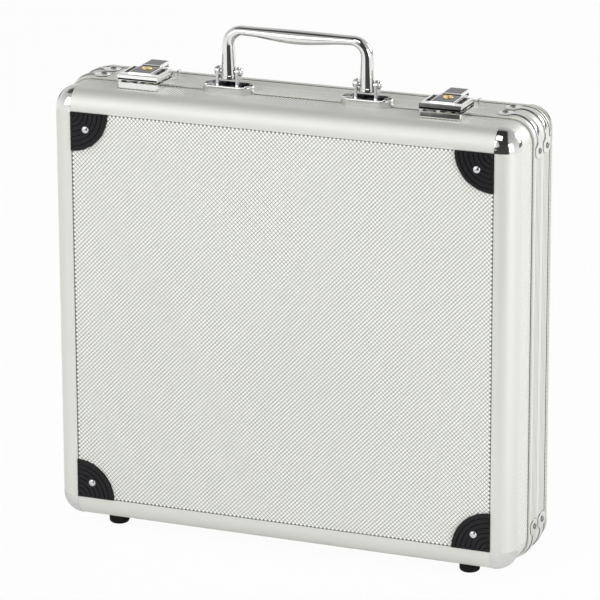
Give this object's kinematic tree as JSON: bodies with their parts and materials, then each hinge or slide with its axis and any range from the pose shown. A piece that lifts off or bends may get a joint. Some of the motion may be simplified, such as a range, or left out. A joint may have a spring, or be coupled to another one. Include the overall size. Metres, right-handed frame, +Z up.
{
  "type": "receiver carrying case",
  "caption": "Light aluminium carrying case on its feet, with textured panels, a folding handle, two locking lever latches, a hinged lid and a foam insert with pockets for receivers.",
  "frame": {"origin": "on the ground under the middle of the case, midway between its sides and its faces", "axes": "+Z up to the handle, +X to the right, and the face of the deep half looks along -Y"},
  "size_m": [0.3876, 0.102, 0.4104],
  "materials": {
    "textured_panel": "thin sheet with a fine raised lattice, over board",
    "satin_aluminium": "satin anodised extrusion",
    "chrome_trim": "bright plated pressing or casting",
    "plated_steel": "plated steel fastener",
    "black_plastic": "moulded black",
    "black_rubber": "matt black",
    "brass": "turned",
    "grey_foam": "open-cell foam, matt"
  },
  "bodies": {
    "base": {"base_panel": "textured_panel", "base_side_band": "textured_panel", "base_rim": "satin_aluminium", "base_edge_top": "satin_aluminium", "base_edge_bottom": "satin_aluminium", "base_edge_left": "satin_aluminium", "base_edge_right": "satin_aluminium", "base_ball_corners": "chrome_trim", "base_gussets": "black_plastic", "base_gusset_rivets": "plated_steel", "base_corner_straps": "chrome_trim", "base_strap_rivets": "plated_steel", "base_feet": "black_rubber", "base_foot_screws": "plated_steel", "base_hinge_leaves": "plated_steel", "base_hinge_rivets": "plated_steel", "handle_pivot_pins": "plated_steel", "handle_bracket_screws": "plated_steel", "handle_backing_plates": "plated_steel", "hinge_pins": "plated_steel", "latch_rivets": "plated_steel", "lever_pins": "plated_steel", "handle_bracket_left": "chrome_trim", "latch_base_left": "chrome_trim", "handle_bracket_right": "chrome_trim", "latch_base_right": "chrome_trim", "foam_sheet": "grey_foam", "foam_pockets": "grey_foam"},
    "lid": {"lid_panel": "textured_panel", "lid_side_band": "textured_panel", "lid_rim": "satin_aluminium", "lid_edge_top": "satin_aluminium", "lid_edge_bottom": "satin_aluminium", "lid_edge_left": "satin_aluminium", "lid_edge_right": "satin_aluminium", "lid_ball_corners": "chrome_trim", "lid_gussets": "black_plastic", "lid_gusset_rivets": "plated_steel", "lid_corner_straps": "chrome_trim", "lid_strap_rivets": "plated_steel", "lid_feet": "black_rubber", "lid_foot_screws": "plated_steel", "lid_hinge_leaves": "plated_steel", "lid_hinge_rivets": "plated_steel", "catch_rivets": "plated_steel", "latch_catch_left": "chrome_trim", "latch_catch_right": "chrome_trim", "lid_foam": "grey_foam"},
    "handle": {"handle": "chrome_trim"},
    "lever_left": {"latch_lever_left": "chrome_trim", "hook_pin_left": "plated_steel"},
    "hook_left": {"latch_hook_left": "chrome_trim"},
    "key_left": {"key_cylinder_left": "brass", "lock_cam_left": "plated_steel"},
    "lever_right": {"latch_lever_right": "chrome_trim", "hook_pin_right": "plated_steel"},
    "hook_right": {"latch_hook_right": "chrome_trim"},
    "key_right": {"key_cylinder_right": "brass", "lock_cam_right": "plated_steel"}
  },
  "joints": [
    {"name": "lid_hinge", "type": "hinge", "parent": "base", "child": "lid", "pos_m": [0, 0.00775, 0.00415], "axis": [-1, 0, 0], "range_deg": [0, 95]},
    {"name": "handle_swing", "type": "hinge", "parent": "base", "child": "handle", "pos_m": [0, -0.00825, 0.3735], "axis": [1, 0, 0], "range_deg": [-100, 100]},
    {"name": "lever_left", "type": "hinge", "parent": "base", "child": "lever_left", "pos_m": [-0.1234, 0.00075, 0.364], "axis": [-1, 0, 0], "range_deg": [0, 90]},
    {"name": "hook_left", "type": "hinge", "parent": "lever_left", "child": "hook_left", "pos_m": [-0.1234, -0.00275, 0.3675], "axis": [-1, 0, 0], "range_deg": [-99, 0]},
    {"name": "key_left", "type": "hinge", "parent": "lever_left", "child": "key_left", "pos_m": [-0.1234, -0.01275, 0.369], "axis": [0, 0, -1], "range_deg": [0, 90]},
    {"name": "lever_right", "type": "hinge", "parent": "base", "child": "lever_right", "pos_m": [0.1234, 0.00075, 0.364], "axis": [-1, 0, 0], "range_deg": [0, 90]},
    {"name": "hook_right", "type": "hinge", "parent": "lever_right", "child": "hook_right", "pos_m": [0.1234, -0.00275, 0.3675], "axis": [-1, 0, 0], "range_deg": [-99, 0]},
    {"name": "key_right", "type": "hinge", "parent": "lever_right", "child": "key_right", "pos_m": [0.1234, -0.01275, 0.369], "axis": [0, 0, 1], "range_deg": [0, 90]}
  ],
  "couplings": [
    {"joint": "hook_left", "follows": "lever_left", "ratio": -1.1},
    {"joint": "hook_right", "follows": "lever_right", "ratio": -1.1}
  ]
}
